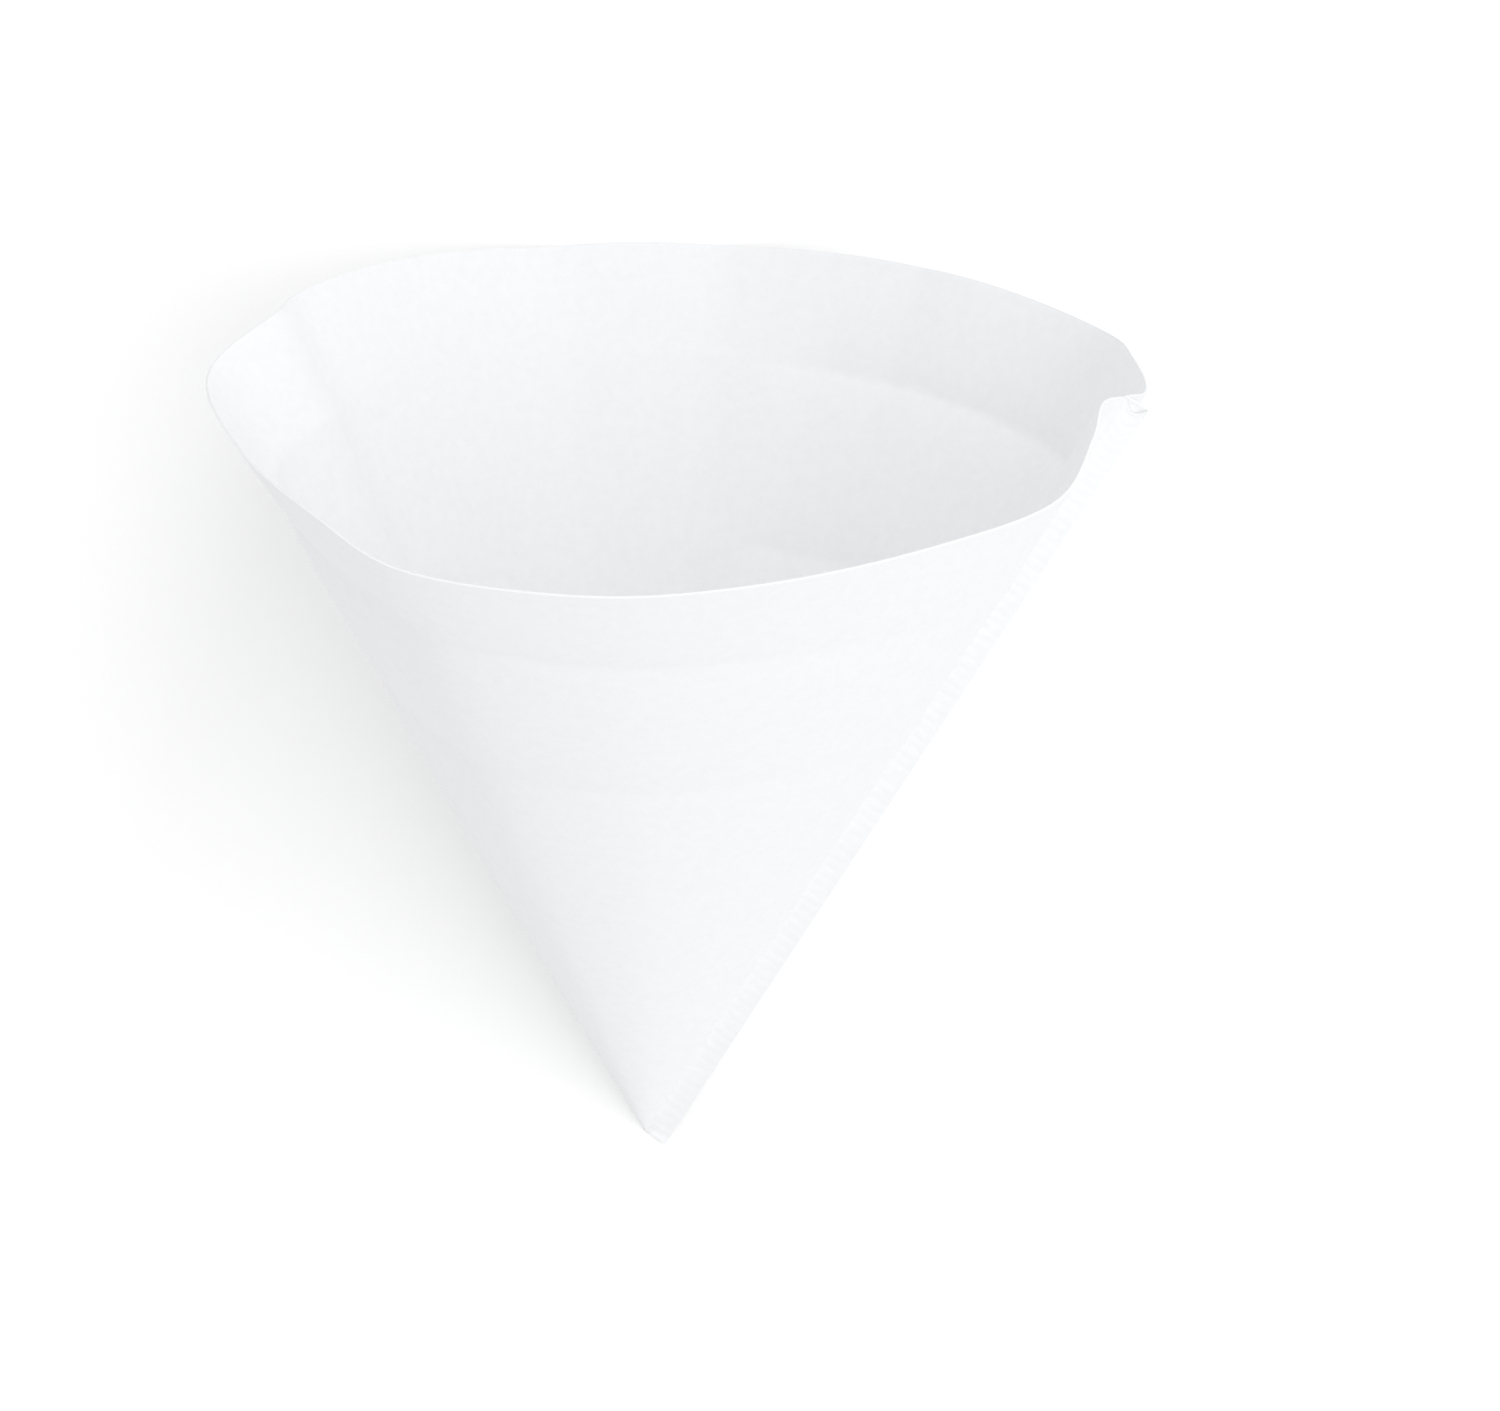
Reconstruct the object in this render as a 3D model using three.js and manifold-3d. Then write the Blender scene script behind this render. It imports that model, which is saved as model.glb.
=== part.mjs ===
// Fryer oil filter cone: a half circle of white non-woven cloth, folded in two and crimped along its
// straight edge, then opened out to a cone. It lies on its side, on a flat that its weight has pressed,
// with the tip towards -Y, the mouth towards +Y and the seam on the +X side.
import * as THREE from "three";
import { mergeVertices } from "three/addons/utils/BufferGeometryUtils.js";
import Module from "manifold-3d";

// Sizes in millimetres
const sheetRadius = 254;
const wallThickness = 0.8;
const seamWidth = 6.5;
const crimpPitch = 3;
const crimpHeight = 0.25;
const tableClearance = 0.05;

// The side that lies on the table: how far round from the seam, and how far it leans from the axis
const restTurn = 265;
const restLean = 31;

// The mouth's form: going round from the seam over the top, how far each side leans from the axis.
// The two layers tuck in where they meet at the seam, and the old fold makes a corner near turn 196.
// The leans are a shape only: mouthDirections spreads them until the whole sheet is used.
const mouthShape = [
  { turn: 9, lean: 27 },
  { turn: 14, lean: 26 },
  { turn: 25, lean: 26.8 },
  { turn: 40, lean: 28.9 },
  { turn: 60, lean: 29.6 },
  { turn: 80, lean: 30.9 },
  { turn: 97, lean: 32 },
  { turn: 118, lean: 32.2 },
  { turn: 132, lean: 30.6 },
  { turn: 150, lean: 29.4 },
  { turn: 180, lean: 29 },
  { turn: 196, lean: 26.3 },
  { turn: 203, lean: 27.2 },
  { turn: 217, lean: 28 },
  { turn: 235, lean: 29.8 },
  { turn: 252, lean: 31.7 },
  { turn: 270, lean: 31.9 },
  { turn: 288, lean: 30.6 },
  { turn: 305, lean: 29.9 },
  { turn: 330, lean: 31.3 },
  { turn: 348, lean: 28.8 },
  { turn: 363, lean: 28.3 },
  { turn: 369, lean: 27 },
];

// The band next to the mouth leans over to one side: there the wall is pressed in where the band begins,
// and opposite it bulges out as much. A lighter bend goes round lower down. Width is measured from the
// mouth, and reach is how far a bend carries on along the wall.
const flare = { width: 37, depth: 2.6, reach: 45 };
const ringBend = { width: 89.5, depth: 1.1, reach: 26 };
const flareSide = 63;

// Creases that run from the mouth towards the tip: the angle on the sheet from the seam in degrees,
// the height at the mouth, how far the cloth rises beside the crease, and the crease's length
const creases = [
  { round: 98.5, height: 1.4, reach: 9, length: 134 },
  { round: 146, height: 1.6, reach: 14, length: 144 },
];

// Bends fade out towards the seam, in degrees on the sheet, and towards the table, as a sine
const seamFade = 6;
const tableFade = 0.06;

// Facets round the cone, and rows of facets from the tip to the ring bend and on to the flare
const facets = 120;
const rowsToRing = 4;
const rowsToFlare = 2;

const cloth = new THREE.MeshStandardMaterial({ color: 0xf1f3f5, roughness: 0.95, metalness: 0 });

const radians = THREE.MathUtils.degToRad;
const axis = new THREE.Vector3(0, Math.cos(radians(restLean)), Math.sin(radians(restLean)));
const awayFromTable = new THREE.Vector3(0, -Math.sin(radians(restLean)), Math.cos(radians(restLean)));
const sideways = new THREE.Vector3(1, 0, 0);

// Angles on the sheet from the seam to the seam again, in degrees, with one on each crease
const columns = [...Array(facets + 1).keys()]
  .map((i) => (180 * i) / facets)
  .concat(creases.map((crease) => crease.round))
  .sort((a, b) => a - b);

// Distances from the tip to each row below the mouth
function rowsBetween(from, to, count) {
  return [...Array(count).keys()].map((i) => from + ((to - from) * (i + 1)) / count);
}
const flareStart = sheetRadius - flare.width;
const ringPlace = sheetRadius - ringBend.width;
const rows = [
  ...rowsBetween(0, ringPlace, rowsToRing),
  ...rowsBetween(ringPlace, flareStart, rowsToFlare),
];

// Unit vector from the tip towards the mouth's edge
function direction(turn, lean) {
  const around = radians(turn - restTurn - 90);
  return new THREE.Vector3()
    .addScaledVector(axis, Math.cos(radians(lean)))
    .addScaledVector(sideways, Math.sin(radians(lean)) * Math.cos(around))
    .addScaledVector(awayFromTable, Math.sin(radians(lean)) * Math.sin(around));
}

// A direction for each column, none of them below the table
function spreadDirections(spread) {
  const stations = mouthShape.map(({ turn, lean }) => direction(turn, lean * spread));
  const curve = new THREE.CatmullRomCurve3(stations, false, "centripetal");
  curve.arcLengthDivisions = 2 * facets;
  return columns.map((round) => {
    const point = curve.getPointAt(round / 180);
    point.z = Math.max(point.z, 0);
    return point.normalize();
  });
}

function angleRound(directions) {
  return directions.slice(1).reduce((sum, here, i) => sum + here.angleTo(directions[i]), 0);
}

// A half circle of cloth has half a turn at its centre, so that is what the cone's sides add up to
function mouthDirections() {
  let spread = 1;
  for (let pass = 0; pass < 8; pass++) {
    spread *= Math.PI / angleRound(spreadDirections(spread));
  }
  return spreadDirections(spread);
}

// The sheet's round edge is centred on its corner, which the seam sets off from the cone's tip
function sideLength(round) {
  const across = seamWidth * Math.cos(radians(round));
  return Math.sqrt(sheetRadius ** 2 - across ** 2) - seamWidth * Math.sin(radians(round));
}

const directions = mouthDirections();
const seamLine = directions[0];
const seamOutward = seamLine.clone().multiplyScalar(axis.dot(seamLine)).sub(axis).normalize();
const seamAcross = new THREE.Vector3().crossVectors(seamLine, seamOutward);

// Outward normal of the plain cone at a column
function outward(i) {
  const last = columns.length - 1;
  const before = directions[i === 0 ? last - 1 : i - 1];
  const after = directions[i === last ? 1 : i + 1];
  return new THREE.Vector3().crossVectors(after, before).normalize();
}

// How deep the two bends that go round press the wall in
function bendInwards(along) {
  const toMouth = (sheetRadius - along) / flare.width;
  const toTip = Math.exp((along - flareStart) / flare.reach);
  const ring = Math.exp(-Math.abs(along - ringPlace) / ringBend.reach);
  return flare.depth * Math.min(toMouth, toTip) + ringBend.depth * ring;
}

function creaseOutwards(round, along, crease) {
  const beside = (Math.abs(radians(round - crease.round)) * along) / crease.reach;
  const share = Math.max(1 - (sheetRadius - along) / crease.length, 0);
  return crease.height * share * Math.exp(-beside);
}

// How far bends and creases move the wall outwards from the plain cone
function wallShift(i, along) {
  const fromSeam = Math.min(columns[i], 180 - columns[i]);
  const fade = THREE.MathUtils.smoothstep(fromSeam, 0, seamFade)
    * THREE.MathUtils.smoothstep(directions[i].z, 0, tableFade);
  const folds = creases.reduce((sum, crease) => sum + creaseOutwards(columns[i], along, crease), 0);
  const side = Math.cos(2 * radians(columns[i] - flareSide));
  return (folds - bendInwards(along) * side) * fade;
}

// A full cone from its tip out to the mouth's edge and any extra length
function coneGeometry(tip, extra) {
  const round = columns.length - 1;
  const points = [tip.clone()];
  for (let row = 0; row <= rows.length; row++) {
    for (let i = 0; i < round; i++) {
      const along = row < rows.length ? rows[row] : sideLength(columns[i]) + extra;
      const place = tip.clone().addScaledVector(directions[i], along);
      points.push(place.addScaledVector(outward(i), wallShift(i, along)));
    }
  }
  const mouthDepth = (sheetRadius + extra) * Math.cos(radians(mouthShape[0].lean));
  points.push(tip.clone().addScaledVector(axis, mouthDepth));

  const at = (row, i) => 1 + row * round + (i % round);
  const faces = [];
  for (let i = 0; i < round; i++) {
    faces.push(0, at(0, i), at(0, i + 1));
    for (let row = 0; row < rows.length; row++) {
      faces.push(at(row, i), at(row + 1, i), at(row + 1, i + 1));
      faces.push(at(row, i), at(row + 1, i + 1), at(row, i + 1));
    }
    faces.push(points.length - 1, at(rows.length, i + 1), at(rows.length, i));
  }
  const geometry = new THREE.BufferGeometry().setFromPoints(points);
  geometry.setIndex(faces);
  return geometry;
}

// The two layers pressed together along the straight edge, in a strip with a rib every crimpPitch
function seamGeometry() {
  const length = sideLength(0);
  const ribs = Math.floor(length / crimpPitch);
  const edge = [[0, 0]];
  for (let rib = 0; rib < ribs; rib++) {
    const start = (rib * length) / ribs;
    const step = length / ribs;
    edge.push([start + step * 0.15, 0], [start + step * 0.35, crimpHeight]);
    edge.push([start + step * 0.65, crimpHeight], [start + step * 0.85, 0]);
  }
  edge.push([length, 0]);
  const front = edge.map(([along, rise]) => new THREE.Vector2(along, rise - wallThickness));
  const back = edge.map(([along, rise]) => new THREE.Vector2(along, rise + wallThickness));
  const section = new THREE.Shape([...front, ...back.reverse()]);
  const geometry = new THREE.ExtrudeGeometry(section, {
    depth: seamWidth + wallThickness,
    bevelEnabled: false,
  });
  geometry.translate(0, 0, -wallThickness);
  const place = new THREE.Matrix4().makeBasis(seamLine, seamAcross.clone().negate(), seamOutward);
  return geometry.applyMatrix4(place);
}

const manifold = await Module();
manifold.setup();

function solid(geometry) {
  const bare = new THREE.BufferGeometry();
  bare.setAttribute("position", geometry.getAttribute("position"));
  bare.setIndex(geometry.getIndex());
  const merged = mergeVertices(bare, 1e-5);
  return new manifold.Manifold(new manifold.Mesh({
    numProp: 3,
    vertProperties: new Float32Array(merged.getAttribute("position").array),
    triVerts: new Uint32Array(merged.getIndex().array),
  }));
}

function geometryOf(body) {
  const { vertProperties, triVerts } = body.getMesh();
  const geometry = new THREE.BufferGeometry();
  geometry.setAttribute("position", new THREE.BufferAttribute(vertProperties, 3));
  geometry.setIndex(new THREE.BufferAttribute(triVerts, 1));
  return geometry;
}

// The room above the table, where the seam's end by the tip is trimmed
function roomAboveTable() {
  const room = new THREE.BoxGeometry(4 * sheetRadius, 4 * sheetRadius, 2 * sheetRadius);
  room.translate(0, 0, sheetRadius + tableClearance);
  return room;
}

function filterCone() {
  const tip = new THREE.Vector3(0, 0, 0);
  const innerRise = wallThickness / Math.sin(radians(restLean));
  const innerTip = tip.clone().addScaledVector(axis, innerRise);
  const pastMouth = 20;
  const seam = solid(seamGeometry()).intersect(solid(roomAboveTable()));
  const outer = solid(coneGeometry(tip, 0)).add(seam);
  const hollow = solid(coneGeometry(innerTip, pastMouth));
  const geometry = geometryOf(outer.subtract(hollow));

  geometry.computeBoundingBox();
  const middle = geometry.boundingBox.getCenter(new THREE.Vector3());
  geometry.translate(-middle.x, -middle.y, -geometry.boundingBox.min.z);

  const mesh = new THREE.Mesh(geometry, cloth);
  mesh.name = "filter_cone";
  return mesh;
}

const part = new THREE.Group();
part.add(filterCone());

export default part;
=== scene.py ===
# Fryer oil filter cone of white non-woven cloth, lying on its side on a pale table
import bpy
import bmesh
import math
from mathutils import Matrix, Vector


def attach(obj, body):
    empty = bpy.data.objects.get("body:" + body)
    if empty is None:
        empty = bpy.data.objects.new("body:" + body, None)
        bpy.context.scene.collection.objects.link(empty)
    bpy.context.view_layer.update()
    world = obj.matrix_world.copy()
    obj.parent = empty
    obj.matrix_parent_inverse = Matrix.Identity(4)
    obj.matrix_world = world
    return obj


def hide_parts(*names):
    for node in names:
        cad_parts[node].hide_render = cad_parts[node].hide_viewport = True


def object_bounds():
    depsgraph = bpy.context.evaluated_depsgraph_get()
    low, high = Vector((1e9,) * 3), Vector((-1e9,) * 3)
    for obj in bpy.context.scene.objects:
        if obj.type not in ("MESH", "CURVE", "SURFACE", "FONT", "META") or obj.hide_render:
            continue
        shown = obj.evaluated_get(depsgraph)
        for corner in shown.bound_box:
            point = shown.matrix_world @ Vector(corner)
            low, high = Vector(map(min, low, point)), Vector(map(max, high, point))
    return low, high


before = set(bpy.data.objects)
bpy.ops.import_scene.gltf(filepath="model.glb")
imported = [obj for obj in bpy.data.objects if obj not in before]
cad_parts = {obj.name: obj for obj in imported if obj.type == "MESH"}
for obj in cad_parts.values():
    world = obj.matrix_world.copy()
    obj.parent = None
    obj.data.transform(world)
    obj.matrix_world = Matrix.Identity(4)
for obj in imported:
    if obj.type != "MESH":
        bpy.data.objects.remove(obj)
cadLow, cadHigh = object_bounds()
scene = bpy.context.scene

# Metres and degrees. The sheet is a half circle, folded in two and crimped along its straight edge.
sheet = {
    "radius": 0.254,
    "thickness": 0.0006,
    "seamWidth": 0.0065,
    "layerGap": 0.00006,
    "columns": 144,       # round the wall
    "drawnToSeam": 0.05,  # how much closer the columns lie by the seam
    "stripColumns": 5,    # across each layer of the seam
    "ribs": 84,
    "rowsPerRib": 3,
    "ribHeight": 0.00028,
    "ribSpan": (0.2, 0.8),    # the share of each step that a rib takes up
}

# How the cone lies: the side on the table, and how far it leans from the cone's axis
rest = {"turn": 265, "lean": 31}

# The mouth's form: turn round from the seam over the top, and lean from the axis
mouthShape = [
    (9, 27), (14, 26), (25, 26.8), (40, 28.9), (60, 29.6), (80, 30.9),
    (97, 32), (118, 32.2), (132, 30.6), (150, 29.4), (180, 29), (196, 26.3),
    (203, 27.2), (217, 28), (235, 29.8), (252, 31.7), (270, 31.9), (288, 30.6),
    (305, 29.9), (330, 31.3), (348, 28.8), (363, 28.3), (369, 27),
]

# The band next to the mouth leans over to one side: there the wall is pressed in where it begins, and
# opposite it bulges out. "width" is measured from the mouth, "reach" is how far a bend carries on.
flare = {"width": 0.037, "depth": 0.0026, "reach": 0.045, "softness": 0.03, "side": 63, "pinch": 1}
ringBend = {"width": 0.0895, "depth": 0.0011, "reach": 0.026, "softness": 0.0012, "pinch": 0.7}

# A narrow line pressed into the cloth at both bends, shallower where the cone lies on the table
pinch = {"depth": 0.0015, "reach": 0.006, "softness": 0.0008, "onTable": 0.0003}

# Creases that run from the mouth towards the tip; "round" is the angle on the sheet from the seam
creases = [
    {"round": 98.5, "height": 0.0014, "reach": 0.009, "length": 0.134},    # the old fold
    {"round": 146, "height": 0.0016, "reach": 0.014, "length": 0.144},
]
creaseSoftness = 0.0006

# Bends fade out towards the seam, in degrees on the sheet, and towards the table, as a sine
fade = {"seam": 6, "table": 0.06}

# At the mouth the front layer of the seam has curled down from the back one
curl = {"depth": 0.003, "length": 0.03}

# The two layers of the seam part this far from its root, and meet this close to the tip
parting = {"fromRoot": 0.004, "fromTip": 0.006}

# Soft unevenness of cloth that has been opened out by hand, growing from the tip to the mouth:
# each wave has its number round, its twist along the cone, its start in degrees and its share
unevenness = {
    "height": 0.0005,
    "from": 0.02,
    "full": 0.25,
    "waves": [(5, 0, 40, 0.5), (9, 900, 110, 0.3), (15, -1500, 0, 0.2)],
}


def deselectAll():
    if bpy.context.object and bpy.context.object.mode != "OBJECT":
        bpy.ops.object.mode_set(mode="OBJECT")
    bpy.ops.object.select_all(action="DESELECT")


def activate(piece):
    deselectAll()
    piece.select_set(True)
    bpy.context.view_layer.objects.active = piece


def smooth(low, high, value):
    t = min(max((value - low) / (high - low), 0), 1)
    return t * t * (3 - 2 * t)


def rounded(away, softness):
    # A distance whose corner at nought is rounded off
    return math.hypot(away, softness) - softness


# The lying cone's own directions
restLean = math.radians(rest["lean"])
coneAxis = Vector((0, math.cos(restLean), math.sin(restLean)))
awayFromTable = Vector((0, -math.sin(restLean), math.cos(restLean)))
sideways = Vector((1, 0, 0))


def direction(turn, lean):
    around = math.radians(turn - rest["turn"] - 90)
    tilt = math.radians(lean)
    return (coneAxis * math.cos(tilt)
            + sideways * (math.sin(tilt) * math.cos(around))
            + awayFromTable * (math.sin(tilt) * math.sin(around)))


def curveThrough(points, steps):
    # Centripetal Catmull-Rom, the ends carried on straight
    ends = [points[0] * 2 - points[1]] + points + [points[-1] * 2 - points[-2]]
    made = []
    for i in range(1, len(ends) - 2):
        p = ends[i - 1:i + 3]
        t = [0]
        for a, b in zip(p, p[1:]):
            t.append(t[-1] + math.sqrt((b - a).length))
        for step in range(steps):
            now = t[1] + (t[2] - t[1]) * step / steps
            low = [p[k].lerp(p[k + 1], (now - t[k]) / (t[k + 1] - t[k])) for k in range(3)]
            mid = [low[k].lerp(low[k + 1], (now - t[k]) / (t[k + 2] - t[k])) for k in range(2)]
            made.append(mid[0].lerp(mid[1], (now - t[1]) / (t[2] - t[1])))
    made.append(points[-1].copy())
    return made


def mouthCurve(spread):
    points = curveThrough([direction(turn, lean * spread) for turn, lean in mouthShape], 20)
    for point in points:
        point.z = max(point.z, 0)    # nothing goes below the table
        point.normalize()
    lengths = [0]
    for a, b in zip(points, points[1:]):
        lengths.append(lengths[-1] + a.angle(b))
    return points, lengths


# The sides of the cone use up the half circle's half turn
spread = 1
for attempt in range(8):
    spread *= math.pi / mouthCurve(spread)[1][-1]
curvePoints, curveLengths = mouthCurve(spread)


def sideDirection(roundAngle):
    # Direction of the side that lies this far round the sheet, in radians from the seam
    target = min(max(roundAngle, 0), curveLengths[-1])
    low, high = 0, len(curveLengths) - 1
    while high - low > 1:
        middle = (low + high) // 2
        if curveLengths[middle] <= target:
            low = middle
        else:
            high = middle
    share = (target - curveLengths[low]) / (curveLengths[high] - curveLengths[low])
    return curvePoints[low].lerp(curvePoints[high], share).normalized()


def sideLength(roundAngle):
    # The round edge is centred on the sheet's corner, which the seam sets off from the tip
    across = sheet["seamWidth"] * math.cos(roundAngle)
    return math.sqrt(sheet["radius"] ** 2 - across ** 2) - sheet["seamWidth"] * math.sin(roundAngle)


def sideNormal(roundAngle):
    # Outward normal of the cone there
    step = 0.02
    ahead = sideDirection(roundAngle + step)
    behind = sideDirection(roundAngle - step)
    normal = behind.cross(ahead).normalized()
    if normal.dot(coneAxis) > 0:
        normal.negate()
    return normal


def bendInwards(along):
    # How deep the flare's start and the ring bend press the wall in
    toMouth = (sheet["radius"] - along) / flare["width"]
    toTip = math.exp((along - sheet["radius"] + flare["width"]) / flare["reach"])
    lesser = (toMouth + toTip - math.hypot(toMouth - toTip, flare["softness"])) / 2
    away = rounded(along - sheet["radius"] + ringBend["width"], ringBend["softness"])
    return flare["depth"] * lesser + ringBend["depth"] * math.exp(-away / ringBend["reach"])


def pinchInwards(along):
    # How much of the narrow line's depth there is
    share = 0
    for bend in (flare, ringBend):
        away = rounded(along - sheet["radius"] + bend["width"], pinch["softness"])
        share += math.exp(-away / pinch["reach"]) * bend["pinch"]
    return share


def creaseOutwards(roundAngle, along, crease):
    away = rounded((roundAngle - math.radians(crease["round"])) * along, creaseSoftness)
    share = max(1 - (sheet["radius"] - along) / crease["length"], 0)
    return crease["height"] * share * math.exp(-away / crease["reach"])


def looseness(roundAngle, along):
    turns = math.degrees(roundAngle)
    total = 0
    for number, twist, start, share in unevenness["waves"]:
        total += math.sin(math.radians(turns * number + along * twist + start)) * share
    return unevenness["height"] * total * smooth(unevenness["from"], unevenness["full"], along)


def wallFade(roundAngle):
    fromSeam = math.degrees(min(roundAngle, math.pi - roundAngle))
    return smooth(0, fade["seam"], fromSeam) * smooth(0, fade["table"], sideDirection(roundAngle).z)


def wallPoint(roundAngle, along, loose):
    side = math.cos(2 * (roundAngle - math.radians(flare["side"])))
    shift = sum(creaseOutwards(roundAngle, along, crease) for crease in creases)
    shift += looseness(roundAngle, along) * loose - bendInwards(along) * side
    shift -= pinchInwards(along) * pinch["depth"] * side * loose
    shift *= wallFade(roundAngle)
    byTheSeam = 0.2    # radians on the sheet
    onTable = smooth(0, byTheSeam, roundAngle) * smooth(0, byTheSeam, math.pi - roundAngle)
    onTable *= 1 - wallFade(roundAngle)
    shift -= pinchInwards(along) * pinch["onTable"] * onTable * loose
    return sideDirection(roundAngle) * along + sideNormal(roundAngle) * shift


# The tip is placed so that the mouth's edge meets the CAD cone's box
rimAngles = [math.pi * i / 720 for i in range(721)]
rimPoints = [wallPoint(angle, sideLength(angle), 0) for angle in rimAngles]
tipPlace = Vector((
    cadLow.x - min(point.x for point in rimPoints),
    cadHigh.y - max(point.y for point in rimPoints),
    cadLow.z,
))
print("tip at", [round(v, 5) for v in tipPlace], "spread", round(spread, 4))

seamLine = sideDirection(0)
seamOutward = (seamLine * coneAxis.dot(seamLine) - coneAxis).normalized()
seamAcross = seamLine.cross(seamOutward).normalized()    # towards the back layer
if seamAcross.dot(awayFromTable) > 0:
    seamAcross.negate()


def layerOffset(layer, fromRoot, along):
    # The two layers lie side by side at the seam, part from there on, and meet at the tip
    share = math.exp(-fromRoot / parting["fromRoot"]) * smooth(0, parting["fromTip"], along)
    return seamAcross * (layer * (sheet["thickness"] + sheet["layerGap"]) * share)


def clothPoint(roundAngle, along):
    layer = -1 if roundAngle < math.pi / 2 else 1
    fromRoot = min(roundAngle, math.pi - roundAngle) * along
    place = wallPoint(roundAngle, along, 1) + layerOffset(layer, fromRoot, along)
    place.z = max(place.z, 0)
    return place


def seamPoint(layer, across, along):
    # layer -1 is the front one, 1 the back one; across runs from the seam's root to its edge
    phase = (along / sideLength(0) * sheet["ribs"]) % 1
    pressed = smooth(0, 0.25, across) * (1 - smooth(0.9, 1.0, across))
    ribStart, ribEnd = sheet["ribSpan"]
    rib = sheet["ribHeight"] * pressed if ribStart < phase < ribEnd else 0
    if layer < 0:
        byMouth = smooth(-curl["length"], 0, along - sideLength(0))
        along -= curl["depth"] * math.sin(math.pi * across) * byMouth
    place = seamLine * along + seamOutward * (across * sheet["seamWidth"])
    place += layerOffset(layer, 0, along + across * sheet["seamWidth"]) + seamAcross * rib
    # The front layer lies on the back one
    onTable = (1 - layer) * (sheet["thickness"] + sheet["layerGap"])
    place.z = max(place.z, onTable)
    return place


def columnPlan():
    # Each column is a place across a layer of the seam, or round the wall, closer together near the seam
    strip = sheet["stripColumns"]
    angles = []
    for i in range(sheet["columns"] + 1):
        share = i / sheet["columns"]
        angles.append((share - math.sin(2 * math.pi * share) * sheet["drawnToSeam"]) * math.pi)
    for crease in creases:
        for beside in (-0.5, 0, 0.5):    # degrees
            angles.append(math.radians(crease["round"] + beside))
    plan = [("front", 1 - i / strip) for i in range(strip)]
    plan += [("wall", angle) for angle in sorted(angles)]
    plan += [("back", (i + 1) / strip) for i in range(strip)]
    return plan


def foldSheet():
    plan = columnPlan()
    rows = sheet["ribs"] * sheet["rowsPerRib"]
    deselectAll()
    bpy.ops.mesh.primitive_grid_add(x_subdivisions=len(plan) - 1, y_subdivisions=rows, size=1)
    cloth = bpy.context.object
    cloth.name = "filter_cloth"
    flat = cloth.data.uv_layers[0].data
    places = []
    flats = []
    for row in range(rows + 1):
        for kind, value in plan:
            share = row / rows
            if kind == "wall":
                along = sideLength(value) * share
                places.append(tipPlace + clothPoint(value, along))
                flats.append((along * math.cos(value), along * math.sin(value)))
            else:
                along = sideLength(0) * share
                layer = -1 if kind == "front" else 1
                places.append(tipPlace + seamPoint(layer, value, along))
                flats.append((-layer * along, -value * sheet["seamWidth"]))
    for vertex, place in zip(cloth.data.vertices, places):
        vertex.co = place
    for loop, uv in zip(cloth.data.loops, flat):
        uv.uv = flats[loop.vertex_index]
    return cloth


def finishSheet(cloth):
    # Join the tip's points, face outwards, then give the cloth its thickness inwards
    mesh = bmesh.new()
    mesh.from_mesh(cloth.data)
    bmesh.ops.remove_doubles(mesh, verts=mesh.verts, dist=1e-6)
    mesh.normal_update()
    middle = tipPlace + coneAxis * 0.15
    outward = sum(face.normal.dot(face.calc_center_median() - middle) for face in mesh.faces)
    if outward < 0:
        bmesh.ops.reverse_faces(mesh, faces=mesh.faces)
    mesh.to_mesh(cloth.data)
    mesh.free()
    activate(cloth)
    wall = cloth.modifiers.new("wall", "SOLIDIFY")
    wall.thickness = sheet["thickness"]
    wall.offset = -1
    wall.use_even_offset = False
    bpy.ops.object.modifier_apply(modifier=wall.name)
    for vertex in cloth.data.vertices:
        vertex.co.z = max(vertex.co.z, tipPlace.z)
    bpy.ops.object.shade_smooth_by_angle(angle=math.radians(50))


def fibreGroup():
    # Non-woven cloth: cloudy patches and short fibres that lie every way
    group = bpy.data.node_groups.new("non-woven fibres", "ShaderNodeTree")
    face = group.interface
    face.new_socket("Vector", in_out="INPUT", socket_type="NodeSocketVector")
    face.new_socket("Cloud Size", in_out="INPUT", socket_type="NodeSocketFloat")
    face.new_socket("Fibre Size", in_out="INPUT", socket_type="NodeSocketFloat")
    face.new_socket("Cloud", in_out="OUTPUT", socket_type="NodeSocketFloat")
    face.new_socket("Height", in_out="OUTPUT", socket_type="NodeSocketFloat")
    nodes, links = group.nodes, group.links
    start = nodes.new("NodeGroupInput")
    end = nodes.new("NodeGroupOutput")
    cloud = nodes.new("ShaderNodeTexNoise")
    cloud.inputs["Detail"].default_value = 4
    cloud.inputs["Roughness"].default_value = 0.65
    links.new(start.outputs["Vector"], cloud.inputs["Vector"])
    links.new(start.outputs["Cloud Size"], cloud.inputs["Scale"])
    heights = []
    for turnBy in (0.35, 1.4, 2.5):    # three ways that the fibres lie
        turned = nodes.new("ShaderNodeMapping")
        turned.inputs["Rotation"].default_value = (turnBy, turnBy * 0.7, turnBy)
        turned.inputs["Scale"].default_value = (1, 0.15, 0.5)
        fibre = nodes.new("ShaderNodeTexNoise")
        fibre.inputs["Detail"].default_value = 2
        fibre.inputs["Distortion"].default_value = 0.6
        links.new(start.outputs["Vector"], turned.inputs["Vector"])
        links.new(turned.outputs["Vector"], fibre.inputs["Vector"])
        links.new(start.outputs["Fibre Size"], fibre.inputs["Scale"])
        heights.append(fibre.outputs["Fac"])
    first = nodes.new("ShaderNodeMath")
    first.operation = "MAXIMUM"
    links.new(heights[0], first.inputs[0])
    links.new(heights[1], first.inputs[1])
    second = nodes.new("ShaderNodeMath")
    second.operation = "MAXIMUM"
    links.new(first.outputs["Value"], second.inputs[0])
    links.new(heights[2], second.inputs[1])
    links.new(cloud.outputs["Fac"], end.inputs["Cloud"])
    links.new(second.outputs["Value"], end.inputs["Height"])
    return group


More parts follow.
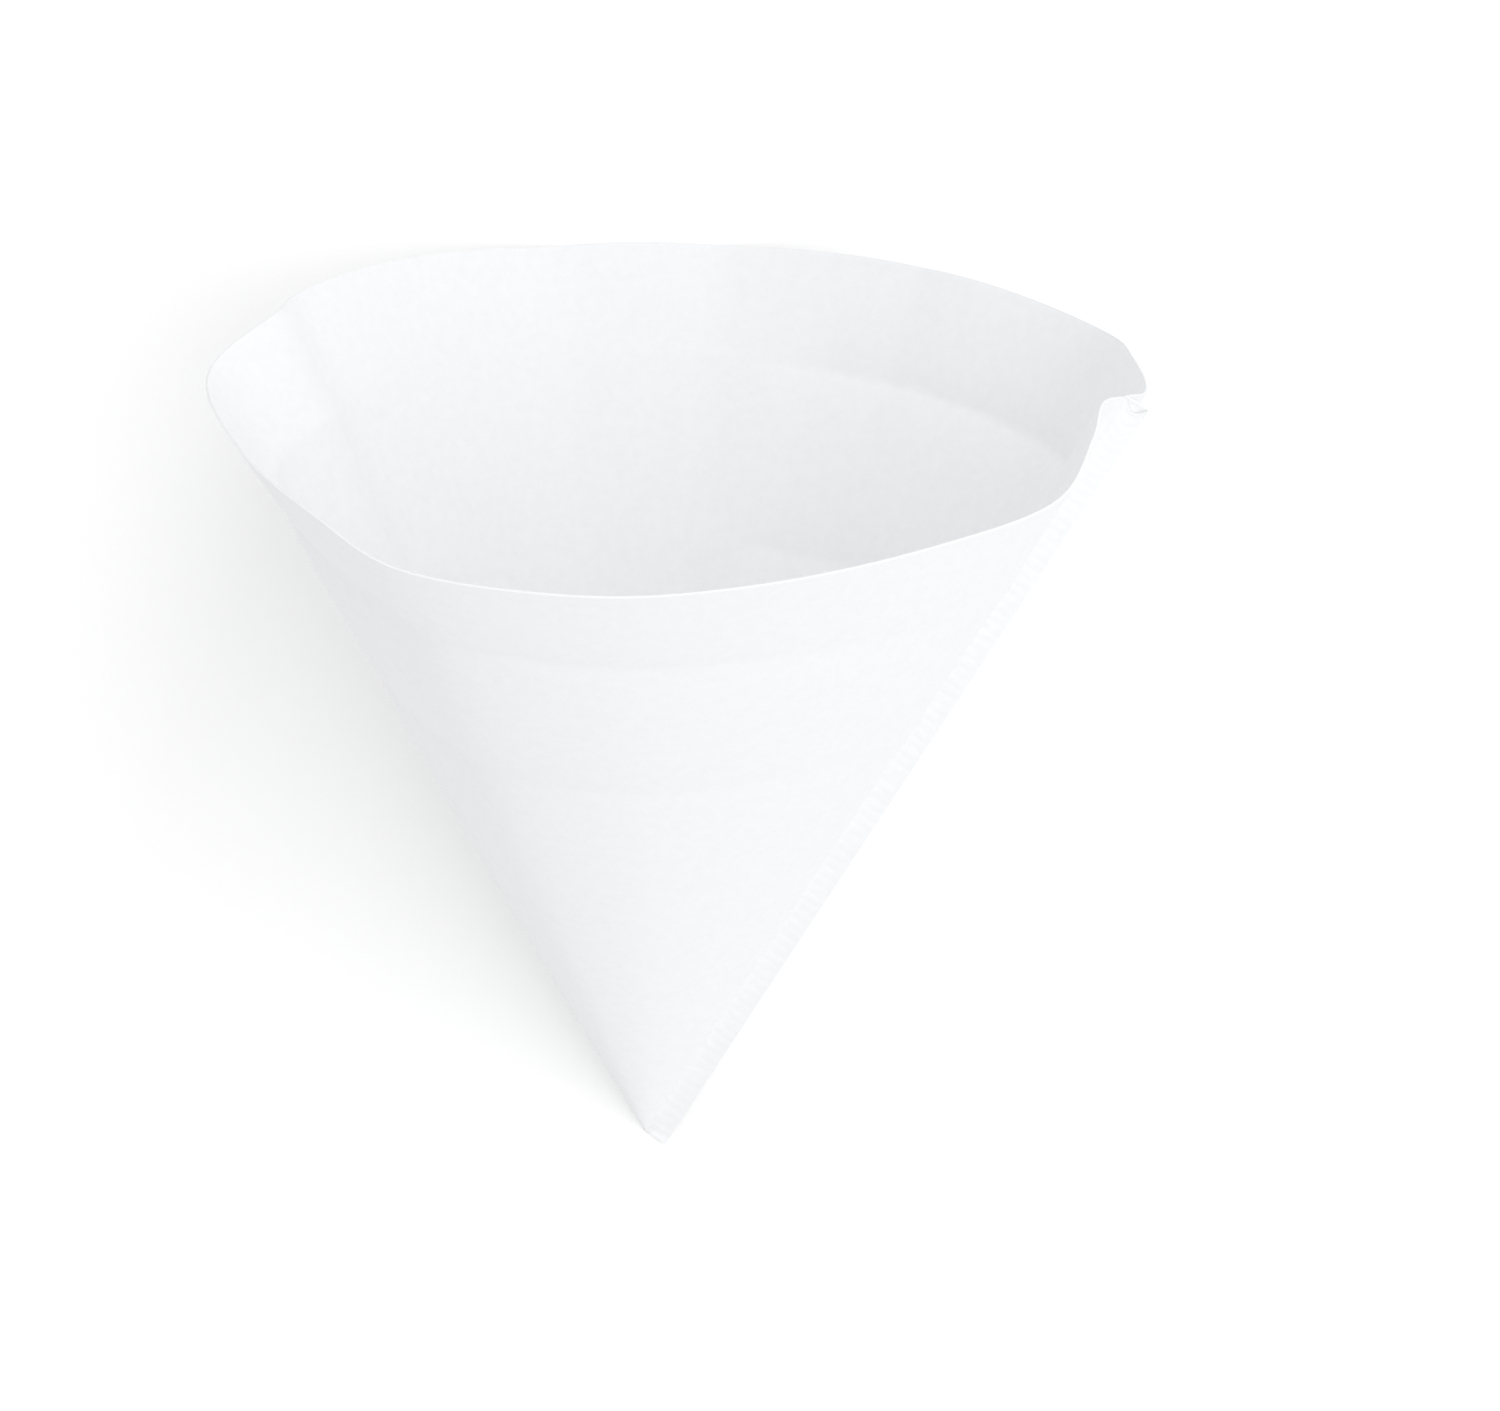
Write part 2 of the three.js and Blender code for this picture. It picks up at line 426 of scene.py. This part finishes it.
def clothMaterial(fibres):
    look = {
        "light": (0.915, 0.922, 0.932, 1),
        "dark": (0.893, 0.901, 0.915, 1),
        "roughness": 0.95,
        "sheen": 0.1,
        "bump": 0.25,
        "fibreHeight": 0.00012,
    }
    material = bpy.data.materials.new("white non-woven cloth")
    material.use_nodes = True
    nodes, links = material.node_tree.nodes, material.node_tree.links
    shader = nodes["Principled BSDF"]
    shader.inputs["Sheen Weight"].default_value = look["sheen"]
    shader.inputs["Specular IOR Level"].default_value = 0.2
    shader.inputs["Roughness"].default_value = look["roughness"]
    place = nodes.new("ShaderNodeTexCoord")
    web = nodes.new("ShaderNodeGroup")
    web.node_tree = fibres
    web.inputs["Cloud Size"].default_value = 330
    web.inputs["Fibre Size"].default_value = 1800
    links.new(place.outputs["Object"], web.inputs["Vector"])
    colour = nodes.new("ShaderNodeValToRGB")
    colour.color_ramp.elements[0].position = 0.3
    colour.color_ramp.elements[0].color = look["dark"]
    colour.color_ramp.elements[1].position = 0.65
    colour.color_ramp.elements[1].color = look["light"]
    links.new(web.outputs["Cloud"], colour.inputs["Fac"])
    links.new(colour.outputs["Color"], shader.inputs["Base Color"])
    bump = nodes.new("ShaderNodeBump")
    bump.inputs["Strength"].default_value = look["bump"]
    bump.inputs["Distance"].default_value = look["fibreHeight"]
    links.new(web.outputs["Height"], bump.inputs["Height"])
    links.new(bump.outputs["Normal"], shader.inputs["Normal"])
    return material


def addCamera():
    # The photograph's eye, given in the frame of the standing cone: tip at the origin and +Z up
    eye = {
        "lens": 108,
        "distance": 1.1616,
        "down": 24.15,
        "roll": 0.934,
        "aim": Vector((0.0268, -0.0202, 0.1376)),
        "coneLean": 1.81,    # the standing cone leans this much towards its seam
    }
    down, roll = math.radians(eye["down"]), math.radians(eye["roll"])
    lookUp = Vector((0, math.sin(down), math.cos(down)))
    back = Vector((0, -math.cos(down), math.sin(down)))
    right = Vector((1, 0, 0)) * math.cos(roll) + lookUp * math.sin(roll)
    up = Vector((-1, 0, 0)) * math.sin(roll) + lookUp * math.cos(roll)
    upright = Matrix.Rotation(-math.radians(eye["coneLean"]), 3, "Y")
    turned = math.radians(rest["turn"] + 90)
    lyingX = sideways * math.cos(turned) - awayFromTable * math.sin(turned)
    lyingY = -(sideways * math.sin(turned) + awayFromTable * math.cos(turned))
    lying = Matrix((lyingX, lyingY, coneAxis)).transposed()
    toLying = lying @ upright
    data = bpy.data.cameras.new("camera")
    data.lens = eye["lens"]
    data.sensor_width = 36
    data.clip_start = 0.05
    data.clip_end = 20
    camera = bpy.data.objects.new("camera", data)
    scene.collection.objects.link(camera)
    axes = Matrix((toLying @ right, toLying @ up, toLying @ back)).transposed()
    place = tipPlace + toLying @ (eye["aim"] + back * eye["distance"])
    camera.matrix_world = Matrix.Translation(place) @ axes.to_4x4()
    scene.camera = camera
    return toLying


def eyeRay(nodes, links):
    # 1 for rays that show the surface straight, in a reflection or through glass, 0 for its light
    path = nodes.new("ShaderNodeLightPath")
    first = nodes.new("ShaderNodeMath")
    first.operation = "MAXIMUM"
    links.new(path.outputs["Is Camera Ray"], first.inputs[0])
    links.new(path.outputs["Is Glossy Ray"], first.inputs[1])
    second = nodes.new("ShaderNodeMath")
    second.operation = "MAXIMUM"
    links.new(first.outputs["Value"], second.inputs[0])
    links.new(path.outputs["Is Transmission Ray"], second.inputs[1])
    return second.outputs["Value"]


def addFloor():
    look = {"size": 6, "below": 0.0002, "colour": (0.93, 0.93, 0.93, 1), "lift": 0.1}
    deselectAll()
    bpy.ops.mesh.primitive_plane_add(size=look["size"], location=(0, 0, -look["below"]))
    floor = bpy.context.object
    floor.name = "table_top"
    material = bpy.data.materials.new("pale table")
    material.use_nodes = True
    nodes, links = material.node_tree.nodes, material.node_tree.links
    shader = nodes["Principled BSDF"]
    shader.inputs["Base Color"].default_value = look["colour"]
    shader.inputs["Roughness"].default_value = 0.9
    shader.inputs["Specular IOR Level"].default_value = 0
    lift = nodes.new("ShaderNodeMath")    # what the eye sees is lifted to white, shadow and all
    lift.operation = "MULTIPLY"
    lift.inputs[1].default_value = look["lift"]
    links.new(eyeRay(nodes, links), lift.inputs[0])
    shader.inputs["Emission Color"].default_value = (1, 1, 1, 1)
    links.new(lift.outputs["Value"], shader.inputs["Emission Strength"])
    floor.data.materials.append(material)
    return floor


def addLight(name, place, target, size, power):
    data = bpy.data.lights.new(name, "AREA")
    data.size = size
    data.energy = power
    lamp = bpy.data.objects.new(name, data)
    scene.collection.objects.link(lamp)
    lamp.location = place
    lamp.rotation_mode = "QUATERNION"
    lamp.rotation_quaternion = (target - place).to_track_quat("-Z", "Y")
    return lamp


def addWorld(strength):
    world = bpy.data.worlds.new("studio")
    world.use_nodes = True
    scene.world = world
    nodes, links = world.node_tree.nodes, world.node_tree.links
    sky = nodes["Background"]
    sky.inputs["Color"].default_value = (1, 1, 1, 1)
    level = nodes.new("ShaderNodeMapRange")
    level.inputs["To Min"].default_value = strength
    level.inputs["To Max"].default_value = 1
    links.new(eyeRay(nodes, links), level.inputs["Value"])
    links.new(level.outputs["Result"], sky.inputs["Strength"])


cloth = foldSheet()
finishSheet(cloth)
cloth.data.materials.clear()
cloth.data.materials.append(clothMaterial(fibreGroup()))
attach(cloth, "root")
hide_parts("filter_cone")
print("cloth made:", len(cloth.data.polygons), "faces")

floor = addFloor()

toLying = addCamera()
lights = {
    "sky": 0.79,
    "key": {"from": Vector((0.8, -1.5, 0.5)), "size": 1.5, "power": 9},
    "mouth": {"from": Vector((0.5, -0.45, 1.5)), "size": 0.8, "power": 3.2},
}
addWorld(lights["sky"])
for name in ("key", "mouth"):
    lamp = lights[name]
    place = tipPlace + toLying @ lamp["from"]
    addLight(name, place, Vector((0, 0, 0.1)), lamp["size"], lamp["power"])
print("camera and lights placed")

scene.view_settings.view_transform = "Standard"
